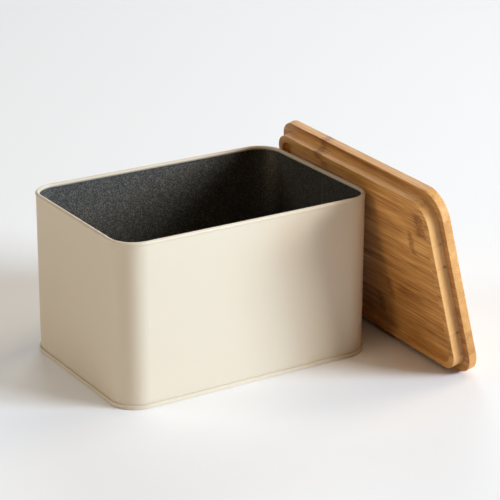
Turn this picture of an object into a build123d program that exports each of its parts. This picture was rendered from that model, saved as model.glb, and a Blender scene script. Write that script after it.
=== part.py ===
from build123d import *
from math import asin, atan2, cos, degrees, radians, sin, sqrt
import os

# Bread box: a painted sheet-steel box with a double-seamed base, and its bamboo lid,
# taken off and leaning against the right-hand side of the box.
# Millimetres, +Z up, +X along the box's length, -Y towards its front.
# The origin is the centre of the box's foot ring, on the surface that it stands on.

# Driving sizes: the steel box
box_length = 304.0
box_depth = 210.0
box_height = 180.0
corner_radius = 29.0
sheet = 0.5
seam_gap = 0.06
seam_height = 4.8
fold_radius = 0.8
floor_height = 4.0
floor_bend_radius = 1.2
rim_strip = 8.0
bead_diameter = 4.6
bead_overhang = 0.6
neck_radius = 1.0
curl_mouth = 10.0
lap_width = 11.0
lap_centre = -0.5
lap_clearance = 0.5
bead_joint_gap = 0.8

# Driving sizes: the bamboo lid
lid_overhang = 4.0
lid_corner_radius = 28.0
flange_thickness = 10.0
plug_height = 13.0
plug_play = 0.5
rim_width = 8.0
tray_depth = 6.0
tray_fillet = 1.5
flange_easing = 1.0
rim_easing = 1.0
inner_plank_width = 26.5
inner_planks = 6

# Driving sizes: how the lid leans
lean_degrees = 14.4
lean_clearance = 0.3
lid_forward = 65.0

# How far a cutting block reaches past what it cuts, and how exactly edges are matched
cut_margin = 10.0
tolerance = 0.001

# The section of the wall: across is measured outwards from the wall's outer face, up from
# the foot. The lines are those of the middle of the sheet's thickness.
wall_line = -sheet / 2
bead_radius = bead_diameter / 2
curl_line_radius = bead_radius - sheet / 2
bead_across = bead_overhang - bead_radius
bead_up = box_height - bead_radius
mouth_inset = bead_diameter - bead_overhang
hook_pitch = sheet + seam_gap
chuck_line = wall_line - hook_pitch
cover_hook_line = wall_line + hook_pitch
body_hook_line = cover_hook_line + hook_pitch
seam_wall_line = body_hook_line + hook_pitch
foot_line = sheet / 2
body_bend_up = foot_line + 2 * hook_pitch
hook_top = seam_height - sheet / 2 - hook_pitch
floor_line = floor_height + sheet / 2

# The lid lies flat in its own frame: the flange's underside is at zero, the plug points down,
# and the long side is along X.
lid_length = box_length + 2 * lid_overhang
lid_depth = box_depth + 2 * lid_overhang
plug_inset = mouth_inset + plug_play
plug_length = box_length - 2 * plug_inset
plug_depth = box_depth - 2 * plug_inset
plug_radius = corner_radius - plug_inset
cove_radius = bead_radius + plug_play
edge_plank_width = (lid_depth - inner_planks * inner_plank_width) / 2
plank_widths = [edge_plank_width, *[inner_plank_width] * inner_planks, edge_plank_width]


def folded_sheet(line):
    """The sheet metal whose middle line is drawn in the wall's section, taken round the box."""
    across_wall = Plane(origin=(box_length / 2, 0, 0), x_dir=(1, 0, 0), z_dir=(0, -1, 0))
    round_box = RectangleRounded(box_length, box_depth, corner_radius).face().outer_wire()
    sides = (Side.LEFT, Side.RIGHT)
    left, right = (make_face(line.offset_2d(sheet / 2, side=side)) for side in sides)
    return sweep(across_wall * (left + right).face(), path=round_box)


def shell_line():
    """The wall's section: rolled bead, neck, wall, and the hook that holds the base."""
    neck_across = wall_line + neck_radius
    centre_gap = neck_across - bead_across
    neck_rise = sqrt((neck_radius + curl_line_radius) ** 2 - centre_gap**2)
    neck_up = bead_up - neck_rise
    join_angle = degrees(atan2(-neck_rise, centre_gap))
    curl_angle = 270 + curl_mouth - join_angle
    curl = CenterArc((bead_across, bead_up), curl_line_radius, join_angle, curl_angle)
    neck = CenterArc((neck_across, neck_up), neck_radius, 180 + join_angle, -join_angle)
    wall = Line((wall_line, neck_up), (wall_line, body_bend_up))
    bend = CenterArc((cover_hook_line, body_bend_up), hook_pitch, 180, 180)
    hook = Line((body_hook_line, body_bend_up), (body_hook_line, hook_top))
    return Wire([*curl.edges(), *neck.edges(), *wall.edges(), *bend.edges(), *hook.edges()])


def base_line():
    """The section of the base's edge: floor, countersink, foot, seam wall and inner hook."""
    corners = [
        (chuck_line - rim_strip, floor_line),
        (chuck_line, floor_line),
        (chuck_line, foot_line),
        (seam_wall_line, foot_line),
        (seam_wall_line, hook_top),
    ]
    rim = FilletPolyline(*corners, radius=[floor_bend_radius, fold_radius, fold_radius])
    bend = CenterArc((body_hook_line, hook_top), hook_pitch, 0, 180)
    hook = Line((cover_hook_line, hook_top), (cover_hook_line, body_bend_up))
    return Wire([*rim.edges(), *bend.edges(), *hook.edges()])


def shell():
    """The painted wall: one strip, its ends lapped on the inside of the right-hand wall and
    butted in the rolled bead above."""
    wall = folded_sheet(shell_line())
    lap_foot = floor_line + floor_bend_radius + sheet + lap_clearance
    lap_top = bead_up - bead_radius - lap_clearance
    lap = Box(sheet, lap_width, lap_top - lap_foot, align=(Align.MAX, Align.CENTER, Align.MIN))
    lap = Pos(box_length / 2 - sheet, lap_centre, lap_foot) * lap
    joint_centre = lap_centre + (lap_width - bead_joint_gap) / 2
    joint = Box(bead_diameter + cut_margin, bead_joint_gap, bead_diameter)
    joint = Pos(box_length / 2 + bead_across, joint_centre, box_height) * joint
    return wall + lap - joint


def base_panel():
    """The base: a flat pan inside its folded rim."""
    pan_inset = rim_strip / 2 - chuck_line
    pan = RectangleRounded(
        box_length - 2 * pan_inset,
        box_depth - 2 * pan_inset,
        corner_radius - pan_inset,
    )
    return folded_sheet(base_line()) + Pos(0, 0, floor_height) * extrude(pan, sheet)


def level_edges(solid, level):
    """The edges that lie level at one height."""
    return solid.edges().filter_by_position(Axis.Z, level - tolerance, level + tolerance)


def beside_plug(edge):
    """Whether an edge lies no further out than the plug's sides."""
    reach = edge.bounding_box().max
    return reach.X < plug_length / 2 + tolerance and reach.Y < plug_depth / 2 + tolerance


def lid_board():
    """The whole lid as it is milled: flange, cove, plug and the shallow tray in its underside."""
    flange = extrude(RectangleRounded(lid_length, lid_depth, lid_corner_radius), flange_thickness)
    outer_edges = level_edges(flange, 0) + level_edges(flange, flange_thickness)
    flange = fillet(outer_edges, flange_easing)
    plug = extrude(RectangleRounded(plug_length, plug_depth, plug_radius), -plug_height)
    plug = fillet(level_edges(plug, -plug_height), rim_easing)
    board = flange + plug
    board = fillet([edge for edge in level_edges(board, 0) if beside_plug(edge)], cove_radius)
    tray = RectangleRounded(
        plug_length - 2 * rim_width,
        plug_depth - 2 * rim_width,
        plug_radius - rim_width,
    )
    tray = Pos(0, 0, -plug_height) * extrude(tray, tray_depth)
    tray = fillet(level_edges(tray, tray_depth - plug_height), tray_fillet)
    return board - tray


def leaning():
    """Where the lid's frame goes when it leans: its lower edge stands on the floor, and the bead
    of the right-hand wall is against the tray's floor in front and the tray's rim behind."""
    lean = radians(lean_degrees)
    straight_end = box_depth / 2 - corner_radius
    rim_behind = plug_length / 2 - rim_width - lid_forward
    turn = -asin(tray_depth / ((rim_behind + straight_end) * cos(lean)))
    outwards = (cos(lean) * cos(turn), cos(lean) * sin(turn), sin(lean))
    foot_up = -flange_easing * (cos(lean) + sin(lean) - 1)
    stand_off = plug_height - tray_depth + bead_radius + lean_clearance
    along = (lid_forward - straight_end) * outwards[1]
    upwards = (bead_up - foot_up) * outwards[2]
    foot_x = box_length / 2 + bead_across + (along + upwards + stand_off) / outwards[0]
    lower_edge = Plane(
        origin=(foot_x, -lid_forward, foot_up),
        x_dir=(-sin(turn), cos(turn), 0),
        z_dir=outwards,
    )
    return lower_edge.location * Pos(0, lid_depth / 2, 0)


def lid_planks():
    """The lid's planks, cut at the glue joints, from the upper edge down, as it leans."""
    board = lid_board()
    place = leaning()
    planks = []
    upper = lid_depth / 2
    for width in plank_widths:
        strip = Box(lid_length + cut_margin, width, 2 * (plug_height + cut_margin))
        planks.append(place * (board & Pos(0, upper - width / 2, 0) * strip))
        upper -= width
    return planks


def write(solid, node):
    """Writes one piece under its node's name."""
    solid.label = node
    export_step(solid, f"parts/{node}.step")


if __name__ == "__main__":
    os.makedirs("parts", exist_ok=True)
    write(shell(), "shell")
    write(base_panel(), "base_panel")
    for number, plank in enumerate(lid_planks(), start=1):
        write(plank, f"lid_plank_{number}")
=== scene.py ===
"""Dresses a bread box: a cream enamelled steel box, coated black inside, and its bamboo lid.

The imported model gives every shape. This script gives each piece its finish, and sets the
floor, the lights and the camera. Lengths are metres unless a name ends in _mm.
"""

from __future__ import annotations

import logging
import math
from collections import defaultdict
from dataclasses import dataclass
from enum import Enum
from typing import Union

import bpy  # noqa: E402
from mathutils import Matrix, Vector  # noqa: E402

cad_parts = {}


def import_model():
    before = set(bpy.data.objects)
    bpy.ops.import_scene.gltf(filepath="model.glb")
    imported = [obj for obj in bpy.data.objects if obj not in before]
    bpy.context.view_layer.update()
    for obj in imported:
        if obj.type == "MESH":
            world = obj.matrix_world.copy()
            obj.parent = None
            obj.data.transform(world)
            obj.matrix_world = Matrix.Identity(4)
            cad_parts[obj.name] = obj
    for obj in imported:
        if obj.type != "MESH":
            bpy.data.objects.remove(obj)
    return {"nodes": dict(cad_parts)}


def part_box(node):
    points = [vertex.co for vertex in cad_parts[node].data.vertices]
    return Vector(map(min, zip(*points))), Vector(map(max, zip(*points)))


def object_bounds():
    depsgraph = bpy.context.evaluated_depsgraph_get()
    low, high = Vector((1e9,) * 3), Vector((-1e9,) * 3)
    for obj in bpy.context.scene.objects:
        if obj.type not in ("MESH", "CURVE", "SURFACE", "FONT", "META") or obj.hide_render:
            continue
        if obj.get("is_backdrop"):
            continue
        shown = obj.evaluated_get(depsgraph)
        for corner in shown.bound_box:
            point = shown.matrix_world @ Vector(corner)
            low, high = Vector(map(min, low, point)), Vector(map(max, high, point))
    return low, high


log = logging.getLogger("bread_box")

MM = 0.001

# Where a Mix node has its numbers and its colours: first input, second input and output.
MIX_NUMBERS = (2, 3, 0)
MIX_COLOURS = (6, 7, 2)

# Dot products of unit vectors: over the first they look the same way, over the second they
# look roughly the same way, and under the third they are about square to each other.
SAME_WAY = 0.9995
ROUGHLY_SAME_WAY = 0.5
SQUARE = 0.1

# Two values: where a smooth rise begins and where it ends, or one for each edge of a plank.
Span = tuple[float, float]


class Slot(Enum):
    """The record's names for the finishes."""

    ENAMEL = "enamel"
    BAMBOO = "bamboo"


@dataclass(frozen=True)
class Tone:
    """A colour as a screen shows it, from 0 to 255 a channel."""

    red: float
    green: float
    blue: float

    def linear(self) -> tuple[float, float, float, float]:
        """The colour in the renderer's linear light, with full alpha."""
        return (*(self._decoded(c / 255) for c in (self.red, self.green, self.blue)), 1.0)

    @staticmethod
    def _decoded(share: float) -> float:
        """One channel from screen coding to linear light."""
        if share <= 0.04045:
            return share / 12.92
        return ((share + 0.055) / 1.055) ** 2.4


# What a number's socket takes, and what any socket or sum takes.
Value = Union["Signal", float]
Input = Union["Signal", float, tuple, Vector]


class Signal:
    """An output socket in a material, which takes part in sums as a number or a vector does."""

    def __init__(self, graph: "Graph", socket: bpy.types.NodeSocket) -> None:
        """Wraps a socket.

        Args:
            graph: The material's node graph, which makes the nodes of each sum.
            socket: The output socket.
        """
        self.graph = graph
        self.socket = socket

    def _kind(self) -> str:
        """The node type for sums on this signal, which is a vector or a number."""
        is_vector = self.socket.type in {"VECTOR", "RGBA"}
        return "ShaderNodeVectorMath" if is_vector else "ShaderNodeMath"

    def _sum(self, operation: str, first: Input, second: Input) -> "Signal":
        """Adds the node for one operation on two inputs.

        Args:
            operation: The name that Blender's Math and Vector Math nodes share.
            first: The left-hand input.
            second: The right-hand input.

        Returns:
            The result.
        """
        return self.graph.node(self._kind(), {"operation": operation}, {0: first, 1: second})

    def _one(self, operation: str) -> "Signal":
        """Adds the node for an operation on this signal alone."""
        return self.graph.node(self._kind(), {"operation": operation}, {0: self})

    def __add__(self, other: Input) -> "Signal":
        """The sum with another."""
        return self._sum("ADD", self, other)

    def __radd__(self, other: Input) -> "Signal":
        """The sum of a plain value and this."""
        return self._sum("ADD", other, self)

    def __sub__(self, other: Input) -> "Signal":
        """This less another."""
        return self._sum("SUBTRACT", self, other)

    def __rsub__(self, other: Input) -> "Signal":
        """A plain value less this."""
        return self._sum("SUBTRACT", other, self)

    def __mul__(self, other: Input) -> "Signal":
        """The product with another."""
        return self._sum("MULTIPLY", self, other)

    def __rmul__(self, other: Input) -> "Signal":
        """The product of a plain value and this."""
        return self._sum("MULTIPLY", other, self)

    def __truediv__(self, other: Input) -> "Signal":
        """This over another."""
        return self._sum("DIVIDE", self, other)

    def __abs__(self) -> "Signal":
        """This without its sign."""
        return self._one("ABSOLUTE")

    def sign(self) -> "Signal":
        """Minus one, nought or one, as this is under, at or over nought."""
        return self._one("SIGN")

    def unit(self) -> "Signal":
        """The vector at a length of one."""
        return self._one("NORMALIZE")

    def least(self, other: Input) -> "Signal":
        """The smaller of this and another."""
        return self._sum("MINIMUM", self, other)

    def most(self, other: Input) -> "Signal":
        """The larger of this and another."""
        return self._sum("MAXIMUM", self, other)

    def above(self, level: Value) -> "Signal":
        """One where this number is over a level, and nought elsewhere."""
        return self._sum("GREATER_THAN", self, level)

    def below(self, level: Value) -> "Signal":
        """One where this number is under a level, and nought elsewhere."""
        return self._sum("LESS_THAN", self, level)

    def rise(self, start: float, end: float) -> "Signal":
        """Goes smoothly from nought at one value to one at another.

        Args:
            start: The value where the rise begins. It may be the larger of the two.
            end: The value where the rise is complete.

        Returns:
            A number from nought to one.
        """
        sockets = {"Value": self, "From Min": start, "From Max": end}
        return self.graph.node("ShaderNodeMapRange", {"interpolation_type": "SMOOTHSTEP"}, sockets)

    def dot(self, other: Input) -> "Signal":
        """The dot product with another vector."""
        settings = {"operation": "DOT_PRODUCT"}
        return self.graph.node("ShaderNodeVectorMath", settings, {0: self, 1: other}, "Value")

    def length(self) -> "Signal":
        """The vector's length."""
        settings = {"operation": "LENGTH"}
        return self.graph.node("ShaderNodeVectorMath", settings, {0: self}, "Value")

    def part(self, axis: str) -> "Signal":
        """The vector's X, Y or Z."""
        return self.graph.node("ShaderNodeSeparateXYZ", {}, {0: self}, axis)


class Graph:
    """The node tree of one material, built from expressions."""

    def __init__(self, name: str) -> None:
        """Makes an empty material.

        Args:
            name: The material's name.
        """
        self.material = bpy.data.materials.new(name)
        self.material.use_nodes = True
        self.tree = self.material.node_tree
        self.tree.nodes.clear()

    def node(
        self,
        kind: str,
        settings: dict[str, object],
        inputs: dict[Union[str, int], Input],
        output: Union[str, int] = 0,
    ) -> Signal:
        """Adds one node.

        Args:
            kind: The node's Blender type.
            settings: Its properties, which are set first.
            inputs: A value or a signal for each socket that differs from its default.
            output: The output that is wanted.

        Returns:
            That output.
        """
        made = self.tree.nodes.new(kind)
        for name, setting in settings.items():
            setattr(made, name, setting)
        for name, value in inputs.items():
            if isinstance(value, Signal):
                self.tree.links.new(value.socket, made.inputs[name])
            else:
                made.inputs[name].default_value = value
        return Signal(self, made.outputs[output])

    def place(self) -> Signal:
        """Where a point lies in the row's frame at rest, in millimetres."""
        metres = self.node("ShaderNodeTexCoord", {}, {}, "Object")
        return metres * (1 / MM, 1 / MM, 1 / MM)

    def facing(self) -> Signal:
        """The surface's normal in the frame of its own piece."""
        return self.node("ShaderNodeTexCoord", {}, {}, "Normal")

    def vector(self, x: Value, y: Value, z: Value) -> Signal:
        """Three numbers as one vector."""
        return self.node("ShaderNodeCombineXYZ", {}, {"X": x, "Y": y, "Z": z})

    def noise(self, at: Signal, detail: float, roughness: float) -> Signal:
        """Smooth noise from nought to one, with features about one unit across.

        Args:
            at: The place, in units of the feature's size.
            detail: How many finer layers are added.
            roughness: How strong the finer layers are.

        Returns:
            The noise.
        """
        sockets = {"Vector": at, "Scale": 1.0, "Detail": detail, "Roughness": roughness}
        return self.node("ShaderNodeTexNoise", {"noise_dimensions": "3D"}, sockets)

    def cells(self, at: Signal) -> Signal:
        """The distance to the nearest of some scattered points, about one unit apart."""
        settings = {"voronoi_dimensions": "3D", "feature": "F1"}
        return self.node("ShaderNodeTexVoronoi", settings, {"Vector": at, "Scale": 1.0}, "Distance")

    def mix(self, share: Value, first: Input, second: Input) -> Signal:
        """Colours blended: the first at nought, the second at one."""
        return self._mixed("RGBA", MIX_COLOURS, share, first, second)

    def blend(self, share: Value, first: Value, second: Value) -> Signal:
        """Numbers blended: the first at nought, the second at one."""
        return self._mixed("FLOAT", MIX_NUMBERS, share, first, second)

    def _mixed(
        self, kind: str, sockets: tuple[int, int, int], share: Value, first: Input, second: Input
    ) -> Signal:
        """Adds a Mix node.

        Args:
            kind: What it mixes, as Blender names it.
            sockets: Its first and second input for that kind, and its output.
            share: How far the mix has gone from the first to the second.
            first: The first input.
            second: The second input.

        Returns:
            The mix.
        """
        settings = {"data_type": kind, "clamp_factor": True}
        at_first, at_second, output = sockets
        inputs = {0: share, at_first: first, at_second: second}
        return self.node("ShaderNodeMix", settings, inputs, output)

    def relief(self, height_mm: Signal) -> Signal:
        """A normal that shows a height over the surface, in millimetres."""
        sockets = {"Distance": MM, "Strength": 1.0, "Height": height_mm}
        return self.node("ShaderNodeBump", {}, sockets)

    def surface(self, **sockets: Input) -> bpy.types.Material:
        """Ends the graph in a Principled surface.

        Args:
            **sockets: Its sockets, with an underscore for each space in a name.

        Returns:
            The finished material.
        """
        named = {name.replace("_", " "): value for name, value in sockets.items()}
        shader = self.node("ShaderNodeBsdfPrincipled", {}, named, "BSDF")
        end = self.tree.nodes.new("ShaderNodeOutputMaterial")
        self.tree.links.new(shader.socket, end.inputs["Surface"])
        return self.material


@dataclass(frozen=True)
class WallOutline:
    """The rounded rectangle of the box's wall, in millimetres, as seen from above."""

    half_length_mm: float
    half_depth_mm: float
    corner_mm: float

    def overhang(self, place: Signal) -> Signal:
        """How far a point is past the straight inner core of the outline, as a vector."""
        core = (self.half_length_mm - self.corner_mm, self.half_depth_mm - self.corner_mm, 0)
        flat = abs(place * (1, 1, 0))
        return (flat - core).most((0, 0, 0))

    def depth(self, place: Signal) -> Signal:
        """How far a point is outside the wall's outer face, which is negative inside."""
        return self.overhang(place).length() - self.corner_mm

    def outward(self, place: Signal, facing: Signal) -> Signal:
        """How squarely a face looks out of the box, from -1 to 1."""
        return (self.overhang(place) * place.sign()).unit().dot(facing)


@dataclass(frozen=True)
class EvenGrain:
    """Noise that is alike in every direction, and the height that it gives a surface."""

    size_mm: float
    height_mm: float
    detail: float
    roughness: float

    def noise(self, place: Signal) -> Signal:
        """The noise at a place in millimetres, from nought to one."""
        size = (self.size_mm,) * 3
        return place.graph.noise(place / size, self.detail, self.roughness)


@dataclass(frozen=True)
class EnamelledSteel:
    """Satin cream enamel outside, and a grained black coat with metal flakes inside.

    The turned_ values are parts of a face's normal: out of the box, up, and along the wall
    that has the lap. On the walls the coat runs from coat_foot_mm, just under the floor's top,
    up to bead_foot_mm.
    """

    outline: WallOutline
    bead_foot_mm: float
    coat_foot_mm: float = 4.4
    sheet_mm: float = 0.5
    lap_mm: float = 0.55
    refraction: float = 1.5
    cream: Tone = Tone(214, 199, 175)
    cream_roughness: float = 0.42
    peel: EvenGrain = EvenGrain(1.6, 0.004, 1.0, 0.5)
    coat: Tone = Tone(39, 36, 30)
    coat_speck: Tone = Tone(138, 128, 109)
    coat_roughness: float = 0.52
    coat_refraction: float = 1.7
    coat_flakes: float = 0.75
    grain: EvenGrain = EvenGrain(1.0, 0.05, 2.0, 0.6)
    speck_edge: Span = (0.44, 0.68)
    turned_in: float = -0.3
    turned_up: float = 0.2
    turned_along: float = 0.7

    def inside(self, graph: Graph, place: Signal) -> Signal:
        """Where the black coat is: under the bead, on the wall's inner face, lap and floor.

        The lap's edges that look along its wall are left out of the coat and show cream, a thin
        light line.

        Args:
            graph: The material's graph.
            place: The point, in millimetres.

        Returns:
            One on the faces that the black coat covers, and nought on the rest.
        """
        facing = graph.facing()
        depth = self.outline.depth(place)
        outward = self.outline.outward(place, facing)
        height = place.part("Z")
        above_floor = height.above(self.coat_foot_mm)
        wall = outward.below(self.turned_in) * depth.below(0.0) * above_floor
        cut_edge = abs(facing.part("Y")).above(self.turned_along)
        lap = depth.below(-self.lap_mm) * above_floor * (1 - cut_edge)
        floor = (facing.part("Z") + outward.most(0.0)).above(self.turned_up)
        floor = floor * depth.below(-self.sheet_mm)
        return wall.most(lap).most(floor) * height.below(self.bead_foot_mm)

    def material(self) -> bpy.types.Material:
        """Builds the finish.

        Returns:
            The material, which tells inside from outside by itself.
        """
        graph = Graph("enamelled_steel")
        place = graph.place()
        inside = self.inside(graph, place)
        grain = self.grain.noise(place)
        specks = grain.rise(*self.speck_edge)
        coat = graph.mix(specks, self.coat.linear(), self.coat_speck.linear())
        cream_height = self.peel.noise(place) * self.peel.height_mm
        coat_height = grain * self.grain.height_mm
        return graph.surface(
            Base_Color=graph.mix(inside, self.cream.linear(), coat),
            Roughness=graph.blend(inside, self.cream_roughness, self.coat_roughness),
            Metallic=inside * self.coat_flakes,
            Coat_Weight=inside,
            Coat_Roughness=self.coat_roughness,
            Coat_IOR=self.coat_refraction,
            Normal=graph.relief(graph.blend(inside, cream_height, coat_height)),
            IOR=self.refraction,
        )


@dataclass(frozen=True)
class BoardPoint:
    """Where a point of the lid lies, in millimetres, as signals of one material.

    Along is nought at the near end and negative on the lid. Across runs down the lid from its
    upper edge. Deep runs from the rim round the tray, at nought, to the lid's upper face.
    """

    along: Signal
    across: Signal
    deep: Signal

    @property
    def graph(self) -> Graph:
        """The material's graph."""
        return self.along.graph


@dataclass(frozen=True)
class Layer:
    """Noise that is drawn out along the grain.

    The shift moves it along the grain, so that no two layers are alike. The weight is how far
    it lightens and darkens the wood, where it takes part in the figure.
    """

    length_mm: float
    width_mm: float
    shift: float
    detail: float
    roughness: float = 0.5
    weight: float = 1.0

    def noise(self, point: BoardPoint, seed: float) -> Signal:
        """The layer at a point.

        Args:
            point: The point.
            seed: The plank's own shift along the grain.

        Returns:
            A number from nought to one.
        """
        at = point.graph.vector(
            point.along / self.length_mm + (seed + self.shift),
            point.across / self.width_mm,
            point.deep / self.width_mm,
        )
        return point.graph.noise(at, self.detail, self.roughness)

    def swing(self, point: BoardPoint, seed: float) -> Signal:
        """The layer as a number from minus a half to a half."""
        return self.noise(point, seed) - 0.5


@dataclass(frozen=True)
class RingMarks:
    """What a plank's growth rings are drawn with, as signals of one material.

    The jagged signal is how far a ring is off its mean line, in millimetres. The dashes are one
    on the short dark marks of its band, and the fibres on the dark fibres of its patch.
    """

    jagged_mm: Signal
    dashes: Signal
    fibres: Signal


@dataclass(frozen=True)
class RingGrain:
    """The noise behind the growth rings: a slow bend, a quick jag, dashes and fibres."""

    bend: Layer = Layer(60.0, 6.0, 5.0, 1.0)
    bend_mm: float = 12.0
    jag: Layer = Layer(9.0, 1.3, 7.0, 2.0)
    jag_mm: float = 5.0
    dash: Layer = Layer(2.6, 0.75, 9.0, 1.0)
    dash_edge: Span = (0.47, 0.6)
    fibre: Layer = Layer(20.0, 1.4, 13.0, 2.0)
    fibre_edge: Span = (0.35, 0.65)

    def marks(self, point: BoardPoint, seed: float) -> RingMarks:
        """Reads the noise for one plank.

        Args:
            point: A point of the plank.
            seed: The plank's own shift along the grain.

        Returns:
            The marks.
        """
        bend = self.bend_mm * self.bend.swing(point, seed)
        jag = self.jag_mm * self.jag.swing(point, seed)
        dashes = self.dash.noise(point, seed).rise(*self.dash_edge)
        fibres = self.fibre.noise(point, seed).rise(*self.fibre_edge)
        return RingMarks(bend + jag, dashes, fibres)


class Towards(Enum):
    """The end of the lid that something reaches towards, with its sign along the grain."""

    NEAR_END = 1.0
    FAR_END = -1.0


@dataclass(frozen=True)
class Knuckle:
    """One growth ring of a bamboo stem: a jagged band of dashes with a darker patch beside it.

    The band's edge is given in half widths of the band, and the patch's in its own lengths.
    """

    from_near_end_mm: float
    width_mm: float
    patch_mm: float
    patch_towards: Towards
    strength: float
    band_edge: Span = (1.4, 0.5)
    between_dashes: float = 0.2
    patch_edge: Span = (1.0, 0.4)
    patch_strength: float = 0.7

    def darkening(self, point: BoardPoint, marks: RingMarks) -> Signal:
        """How much the ring darkens the wood.

        Args:
            point: A point of the plank.
            marks: What the plank's rings are drawn with.

        Returns:
            A number from nought to about one.
        """
        off = point.along + self.from_near_end_mm + marks.jagged_mm
        half = self.width_mm / 2
        band = abs(off).rise(*(half * share for share in self.band_edge))
        aside = off * self.patch_towards.value
        patch = aside.rise(*(self.patch_mm * share for share in self.patch_edge))
        patch = patch * aside.rise(-half, half) * marks.fibres
        dashed = self.between_dashes + (1 - self.between_dashes) * marks.dashes
        return (band * dashed + self.patch_strength * patch) * self.strength


@dataclass(frozen=True)
class PlankLook:
    """What sets one plank apart from its neighbours.

    The lower joint is how clearly the glue joint under the plank shows, from nought to one.
    """

    lightness: float
    seed: float
    knuckles: tuple[Knuckle, ...] = ()
    lower_joint: float = 0.0


@dataclass(frozen=True)
class EndGrain:
    """The cut fibres on the ends. The plug's ends are painted lighter than the sides, painted light
    in place of the light that the flange's overhang keeps off them.

    The gains and losses are steps of lightness, and shares of the figure and of the rings.
    """

    turned: Span = (0.5, 0.9)
    # Painted light on the plug's ends, which the flange's overhang shades.
    plug_painted_light: float = 0.4
    flange_loss: float = 0.5
    flange_mm: Span = (10.5, 13.5)
    figure_loss: float = 0.5
    ring_loss: float = 0.6
    pore_across_mm: float = 0.8
    pore_deep_mm: float = 0.7
    pore_edge: Span = (0.5, 0.1)
    pore_loss: float = 0.14

    def pores(self, point: BoardPoint, seed: float) -> Signal:
        """The cut fibre bundles that dot the ends, from nought to one."""
        across = point.across / self.pore_across_mm + seed
        at = point.graph.vector(across, point.deep / self.pore_deep_mm, seed)
        return point.graph.cells(at).rise(*self.pore_edge)

    def gain(self, point: BoardPoint, seed: float) -> Signal:
        """How much lighter the end is than a side, at one point: painted light on the plug, less a
        step on the flange and in the pores.

        Args:
            point: The point.
            seed: The plank's own shift.

        Returns:
            A step of lightness, which is negative on the flange.
        """
        flange = point.deep.rise(*self.flange_mm)
        return self.plug_painted_light - self.flange_loss * flange - self.pore_loss * self.pores(point, seed)


@dataclass(frozen=True)
class PaintedCoveShade:
    """Painted shade: a darker, greyer tone in the cove between plug and flange, fainter on the long
    sides.
    """

    # The painted shade's tone, its share in the colour and how far it darkens the wood.
    tone: Tone = Tone(128, 92, 58)
    painted_shade_share: float = 0.5
    painted_shade_loss: float = 0.22
    from_plug_mm: Span = (6.6, 11.6)
    from_flange_mm: Span = (13.8, 12.8)
    long_side_share: float = 0.3
    turned: Span = (0.0, 0.5)

    def strength(self, point: BoardPoint, endwise: Signal, streak: Signal) -> Signal:
        """How strongly the painted shade shows.

        Args:
            point: The point.
            endwise: How squarely the face looks along the grain, from nought to one.
            streak: The wood's streaks, from minus a half to a half.

        Returns:
            A number from nought, away from the cove, to about one.
        """
        near = point.deep.rise(*self.from_plug_mm) * point.deep.rise(*self.from_flange_mm)
        turned = endwise.rise(*self.turned)
        side = self.long_side_share + (1 - self.long_side_share) * turned
        return near * side * (1 + streak)


@dataclass(frozen=True)
class GlueJoints:
    """The glue lines between planks, which show on the ends, with a dark speck in the cove."""

    line_mm: Span = (0.8, 0.1)
    line_strength: float = 0.25
    speck_mm: Span = (2.1, 1.1)
    speck_deep_mm: float = 10.6
    turned: Span = (0.1, 0.5)

    def joint(self, point: BoardPoint, edge_mm: float) -> Signal:
        """How dark one joint is, given where it lies from the lid's upper edge."""
        off = point.across - edge_mm
        line = abs(off).rise(*self.line_mm) * self.line_strength
        reach = point.graph.vector(off, point.deep - self.speck_deep_mm, 0.0).length()
        return line.most(reach.rise(*self.speck_mm))

    def darkening(self, point: BoardPoint, edges_mm: Span, strengths: Span) -> Signal:
        """How much a plank's upper and lower joint darken an end.

        Args:
            point: A point of the plank.
            edges_mm: Where the joints lie, from the lid's upper edge.
            strengths: How clearly each of them shows.

        Returns:
            A number from nought to one.
        """
        upper, lower = (
            self.joint(point, edge) * strength for edge, strength in zip(edges_mm, strengths)
        )
        return upper.most(lower)


@dataclass(frozen=True)
class BoardAxes:
    """The lid's own directions, read from its planks where they stand."""

    corner: Vector
    grain: Vector
    across: Vector
    outward: Vector

    @classmethod
    def measured(cls, planks: list[bpy.types.Object]) -> "BoardAxes":
        """Reads the directions from the largest flat faces.

        Args:
            planks: The lid's planks, from the upper edge down.

        Returns:
            The axes. The grain runs towards the front of the box, across runs down the lid,
            and outward is the direction of the lid's upper face. The corner is at their least.
        """
        middle = planks[len(planks) // 2]
        area: dict[tuple, float] = defaultdict(float)
        for face in middle.data.polygons:
            area[tuple(round(part, 2) for part in face.normal)] += face.area
        by_area = [Vector(key).normalized() for key in sorted(area, key=area.get, reverse=True)]
        rightward = Vector((1, 0, 0))
        upper_face = next(n for n in by_area if n.dot(rightward) > ROUGHLY_SAME_WAY)
        joint_face = next(n for n in by_area if abs(n.dot(upper_face)) < SQUARE)
        outward = cls._sharpened(middle, upper_face)
        across = cls._sharpened(middle, joint_face)
        across = across if across.z < 0 else -across
        grain = across.cross(outward)
        grain = -grain if grain.y > 0 else grain
        points = [vertex.co for plank in planks for vertex in plank.data.vertices]
        least = [min(point.dot(axis) for point in points) for axis in (grain, across, outward)]
        axes = Matrix((grain, across, outward)).transposed()
        return cls(axes @ Vector(least), grain, across, outward)

    @staticmethod
    def _sharpened(plank: bpy.types.Object, rough: Vector) -> Vector:
        """The mean normal of the faces that look the same way as a rough direction."""
        total = Vector()
        for face in plank.data.polygons:
            if face.normal.dot(rough) > SAME_WAY:
                total += face.normal * face.area
        return total.normalized()

    def reach_mm(self, plank: bpy.types.Object, axis: Vector) -> Span:
        """Where a plank begins and ends along an axis, in millimetres from the corner."""
        reach = [(vertex.co - self.corner).dot(axis) / MM for vertex in plank.data.vertices]
        return min(reach), max(reach)


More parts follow.
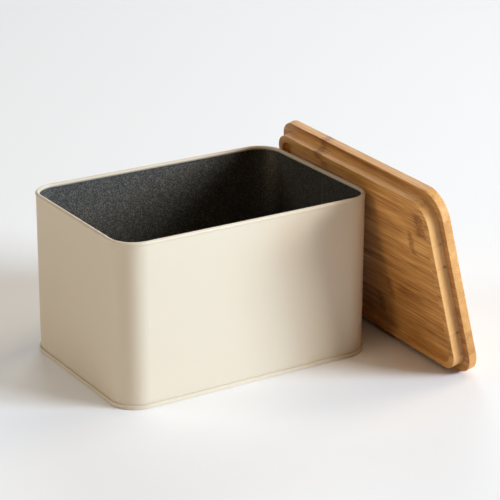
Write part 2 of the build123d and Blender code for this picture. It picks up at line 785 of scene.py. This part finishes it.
@dataclass(frozen=True)
class Bamboo:
    """Oiled solid bamboo, with fibres, knuckles, glue joints and end grain.

    Lightness runs from about nought, at the dark tone, to one, at the pale one. The outer term is
    painted light: every face but those that look out of the lid's underside, which lies in shade,
    is painted lighter.
    """

    axes: BoardAxes
    length_mm: float
    pale: Tone = Tone(238, 184, 114)
    middle: Tone = Tone(200, 141, 72)
    dark: Tone = Tone(140, 84, 32)
    dark_to_middle: Span = (0.05, 0.55)
    middle_to_pale: Span = (0.45, 1.0)
    lightness: float = 0.47
    # Painted light on every face but those of the shaded underside.
    outer_painted_light: float = 0.24
    outer_turned: Span = (-0.9, -0.6)
    fibre: Layer = Layer(30.0, 0.75, 0.0, 2.0, 0.6, 0.8)
    streak: Layer = Layer(75.0, 1.9, 11.0, 3.0, 0.65, 1.2)
    band: Layer = Layer(190.0, 7.5, 23.0, 1.0, 0.5, 0.6)
    cloud: Layer = Layer(60.0, 24.0, 37.0, 1.0, 0.5, 0.4)
    rings: RingGrain = RingGrain()
    ends: EndGrain = EndGrain()
    # The painted shade in the cove.
    cove: PaintedCoveShade = PaintedCoveShade()
    glue: GlueJoints = GlueJoints()
    mark: Tone = Tone(122, 64, 20)
    mark_share: float = 0.85
    roughness: float = 0.52
    fibre_gloss: float = 0.1
    refraction: float = 1.48
    fibre_height_mm: float = 0.02
    streak_height_mm: float = 0.03
    mark_depth_mm: float = 0.03

    def point(self, graph: Graph) -> BoardPoint:
        """A point's place on the lid."""
        place = graph.place() - tuple(part / MM for part in self.axes.corner)
        return BoardPoint(
            place.dot(tuple(self.axes.grain)) - self.length_mm,
            place.dot(tuple(self.axes.across)),
            place.dot(tuple(self.axes.outward)),
        )

    def figure(self, point: BoardPoint, seed: float, fibre: Signal, streak: Signal) -> Signal:
        """The wood's figure.

        Args:
            point: A point of the plank.
            seed: The plank's own shift along the grain.
            fibre: The wood's fibres, from minus a half to a half.
            streak: Its streaks, likewise.

        Returns:
            A step of lightness about nought: fibres, streaks, bands and clouds together.
        """
        fine = self.fibre.weight * fibre + self.streak.weight * streak
        band = self.band.weight * self.band.swing(point, seed)
        cloud = self.cloud.weight * self.cloud.swing(point, seed)
        return fine + band + cloud

    def light(self, point: BoardPoint, look: PlankLook, facing: Signal, ends: Signal) -> Signal:
        """The wood's lightness, with painted light on every face but the underside and on the
        plug's ends, without its figure, the cove's painted shade and the dark marks.

        Args:
            point: A point of the plank.
            look: What sets the plank apart.
            facing: The face's normal.
            ends: One on the lid's ends, and nought on its sides.

        Returns:
            The lightness.
        """
        # Painted light: faces other than the shaded underside are painted lighter.
        outer = facing.dot(tuple(self.axes.outward)).rise(*self.outer_turned)
        own = look.lightness * (1 + ends) + self.lightness
        return own + self.outer_painted_light * outer + ends * self.ends.gain(point, look.seed)

    def material(
        self, name: str, look: PlankLook, edges_mm: Span, joints: Span
    ) -> bpy.types.Material:
        """Builds one plank's finish.

        Args:
            name: The material's name.
            look: What sets the plank apart.
            edges_mm: Where its glue joints lie, from the lid's upper edge.
            joints: How clearly its upper and its lower joint show on the ends.

        Returns:
            The material.
        """
        graph = Graph(name)
        point = self.point(graph)
        facing = graph.facing()
        endwise = abs(facing.dot(tuple(self.axes.grain)))
        ends = endwise.rise(*self.ends.turned)
        fibre = self.fibre.swing(point, look.seed)
        streak = self.streak.swing(point, look.seed)
        figure = self.figure(point, look.seed, fibre, streak) * (1 - self.ends.figure_loss * ends)
        # Painted shade in the cove, and painted light on the faces and the plug's ends.
        cove = self.cove.strength(point, endwise, streak)
        light = self.light(point, look, facing, ends) + figure - self.cove.painted_shade_loss * cove
        dark = self.glue.darkening(point, edges_mm, joints) * endwise.rise(*self.glue.turned)
        for knuckle in look.knuckles:
            ring = knuckle.darkening(point, self.rings.marks(point, look.seed))
            dark = dark.most(ring * (1 - self.ends.ring_loss * ends))
        wood = graph.mix(light.rise(*self.dark_to_middle), self.dark.linear(), self.middle.linear())
        wood = graph.mix(light.rise(*self.middle_to_pale), wood, self.pale.linear())
        # The cove's painted shade, greyer and darker.
        wood = graph.mix(self.cove.painted_shade_share * cove, wood, self.cove.tone.linear())
        wood = graph.mix(dark.least(1.0) * self.mark_share, wood, self.mark.linear())
        height = self.fibre_height_mm * fibre + self.streak_height_mm * streak
        return graph.surface(
            Base_Color=wood,
            Roughness=self.roughness - self.fibre_gloss * fibre,
            Normal=graph.relief(height - self.mark_depth_mm * dark),
            IOR=self.refraction,
        )


@dataclass
class SteelBox:
    """The wall and the base, which share one enamel.

    The inner coat ends under_bead_mm below the rolled bead.
    """

    nodes: dict[str, bpy.types.Object]
    wall: str = "shell"
    base: str = "base_panel"
    corner_mm: float = 29.0
    bead_mm: float = 4.6
    hook_reach_mm: float = 1.12
    under_bead_mm: float = 0.1

    def outline(self) -> WallOutline:
        """The wall's outer face, which the hook at the wall's foot reaches past."""
        low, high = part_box(self.wall)
        half_length = (high.x - low.x) / 2 / MM - self.hook_reach_mm
        half_depth = (high.y - low.y) / 2 / MM - self.hook_reach_mm
        return WallOutline(half_length, half_depth, self.corner_mm)

    def dress(self) -> None:
        """Gives both pieces the enamel."""
        top_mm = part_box(self.wall)[1].z / MM
        enamel = EnamelledSteel(self.outline(), top_mm - self.bead_mm - self.under_bead_mm)
        material = enamel.material()
        for name in (self.wall, self.base):
            dress(self.nodes[name], material)


@dataclass
class BambooLid:
    """The lid's glued planks, from its upper edge down."""

    nodes: dict[str, bpy.types.Object]
    looks: tuple[PlankLook, ...] = (
        PlankLook(0.04, 3.0, (Knuckle(217.0, 10.0, 16.0, Towards.NEAR_END, 0.9),)),
        PlankLook(-0.03, 17.0, (Knuckle(34.0, 16.0, 18.0, Towards.FAR_END, 1.0),), 0.5),
        PlankLook(0.03, 31.0, (Knuckle(58.0, 9.0, 8.0, Towards.FAR_END, 0.9),), 1.0),
        PlankLook(-0.01, 47.0),
        PlankLook(-0.04, 59.0),
        PlankLook(-0.03, 71.0, (Knuckle(122.0, 10.0, 8.0, Towards.FAR_END, 0.9),), 1.0),
        PlankLook(-0.1, 83.0, (Knuckle(148.0, 12.0, 60.0, Towards.FAR_END, 0.9),), 0.7),
        PlankLook(-0.02, 97.0),
    )

    def planks(self) -> list[bpy.types.Object]:
        """The planks in order."""
        return [self.nodes[f"lid_plank_{number}"] for number in range(1, len(self.looks) + 1)]

    def dress(self) -> None:
        """Gives each plank its own bamboo."""
        planks = self.planks()
        axes = BoardAxes.measured(planks)
        length_mm = max(axes.reach_mm(plank, axes.grain)[1] for plank in planks)
        bamboo = Bamboo(axes, length_mm)
        upper_joint = 0.0
        for plank, look in zip(planks, self.looks):
            edges_mm = axes.reach_mm(plank, axes.across)
            joints = (upper_joint, look.lower_joint)
            material = bamboo.material(f"bamboo_{plank.name}", look, edges_mm, joints)
            dress(plank, material)
            upper_joint = look.lower_joint


@dataclass(frozen=True)
class Softbox:
    """A large soft lamp that faces the object from some way off."""

    name: str
    azimuth_degrees: float
    elevation_degrees: float
    width: float
    height: float
    watts: float
    tone: Tone
    distance: float = 5.0

    def build(self, aim: Vector) -> None:
        """Adds the lamp.

        Args:
            aim: The point that it faces.
        """
        lamp = bpy.data.lights.new(self.name, "AREA")
        lamp.shape = "RECTANGLE"
        lamp.size = self.width
        lamp.size_y = self.height
        lamp.energy = self.watts
        lamp.color = self.tone.linear()[:3]
        holder = bpy.data.objects.new(self.name, lamp)
        away = direction(math.radians(self.azimuth_degrees), math.radians(self.elevation_degrees))
        holder.location = aim + away * self.distance
        holder.rotation_mode = "QUATERNION"
        holder.rotation_quaternion = (-away).to_track_quat("-Z", "Y")
        bpy.context.scene.collection.objects.link(holder)


@dataclass(frozen=True)
class Studio:
    """A plain pale floor under a key softbox, with softer light from the other sides."""

    floor_side: float = 24.0
    floor_tone: Tone = Tone(243, 243, 243)
    floor_roughness: float = 0.7
    sky_tone: Tone = Tone(255, 244, 230)
    sky_strength: float = 0.004
    lamps: tuple[Softbox, ...] = (
        Softbox("key", 43.0, 22.0, 2.2, 1.4, 254.0, Tone(241, 248, 255)),
        Softbox("low", 52.0, 12.0, 1.4, 1.4, 176.0, Tone(174, 213, 255)),
        Softbox("left", -120.0, 34.0, 2.0, 2.0, 53.0, Tone(248, 249, 251)),
        Softbox("side", -80.0, 7.0, 1.2, 1.6, 41.0, Tone(255, 235, 206)),
        Softbox("back", 150.0, 30.0, 2.0, 2.0, 65.0, Tone(232, 244, 252)),
        Softbox("top", -10.0, 76.0, 3.2, 3.2, 64.0, Tone(248, 231, 209)),
        Softbox("right", 90.0, 42.0, 2.0, 3.4, 67.0, Tone(255, 230, 196)),
    )

    def build(self, aim: Vector) -> None:
        """Adds the floor, the sky and the lamps.

        Args:
            aim: The point that the lamps face.
        """
        self._floor()
        self._sky()
        for lamp in self.lamps:
            lamp.build(aim)
        bpy.context.scene.view_settings.view_transform = "Standard"

    def _floor(self) -> None:
        """Adds the floor as a plain sheet at the height of the foot."""
        half = self.floor_side / 2
        mesh = bpy.data.meshes.new("floor")
        corners = [(-half, -half, 0), (half, -half, 0), (half, half, 0), (-half, half, 0)]
        mesh.from_pydata(corners, [], [(0, 1, 2, 3)])
        floor = bpy.data.objects.new("floor", mesh)
        bpy.context.scene.collection.objects.link(floor)
        tone = self.floor_tone.linear()
        mesh.materials.append(
            Graph("floor").surface(Base_Color=tone, Roughness=self.floor_roughness)
        )
        floor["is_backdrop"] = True

    def _sky(self) -> None:
        """Sets the even light from all round."""
        world = bpy.data.worlds.new("sky")
        world.use_nodes = True
        sky = world.node_tree.nodes["Background"]
        sky.inputs["Color"].default_value = self.sky_tone.linear()
        sky.inputs["Strength"].default_value = self.sky_strength
        bpy.context.scene.world = world


@dataclass(frozen=True)
class Viewpoint:
    """The camera, placed as the photograph was taken, with its angles in radians."""

    azimuth: float = -0.5624
    elevation: float = 0.3607
    roll: float = 0.0048
    distance: float = 2.20846
    target: tuple[float, float, float] = (0.077555, 0.024633, 0.09)
    focal_pixels: float = 2008.98
    frame_pixels: float = 500.0
    sensor_mm: float = 36.0
    nearest: float = 0.1
    furthest: float = 50.0

    def build(self) -> None:
        """Adds the camera and makes it the scene's own."""
        data = bpy.data.cameras.new("camera")
        data.sensor_fit = "HORIZONTAL"
        data.sensor_width = self.sensor_mm
        data.lens = self.sensor_mm * self.focal_pixels / self.frame_pixels
        data.clip_start = self.nearest
        data.clip_end = self.furthest
        camera = bpy.data.objects.new("camera", data)
        back = direction(self.azimuth, self.elevation)
        right = Vector((0, 0, 1)).cross(back).normalized()
        axes = Matrix((right, back.cross(right), back)).transposed()
        camera.matrix_world = (
            Matrix.Translation(Vector(self.target) + back * self.distance)
            @ axes.to_4x4()
            @ Matrix.Rotation(self.roll, 4, "Z")
        )
        bpy.context.scene.collection.objects.link(camera)
        bpy.context.scene.camera = camera


def direction(azimuth: float, elevation: float) -> Vector:
    """The direction from the object towards a viewer or a lamp.

    Args:
        azimuth: Radians round from the front of the box, towards its right-hand side.
        elevation: Radians above the floor.

    Returns:
        A unit vector.
    """
    flat = math.cos(elevation)
    return Vector((math.sin(azimuth) * flat, -math.cos(azimuth) * flat, math.sin(elevation)))


def dress(piece: bpy.types.Object, material: bpy.types.Material) -> None:
    """Gives a piece its material.

    Args:
        piece: The piece, a node of the frame.
        material: Its finish.
    """
    piece.data.materials.clear()
    piece.data.materials.append(material)
    log.info("dressed %s in %s", piece.name, material.name)


def main() -> None:
    """Builds the scene."""
    logging.basicConfig(level=logging.INFO, format="%(name)s: %(message)s")
    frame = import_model()
    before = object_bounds()
    Viewpoint().build()
    SteelBox(frame["nodes"]).dress()
    BambooLid(frame["nodes"]).dress()
    low, high = before
    Studio().build((low + high) / 2)


if __name__ == "__main__":
    main()
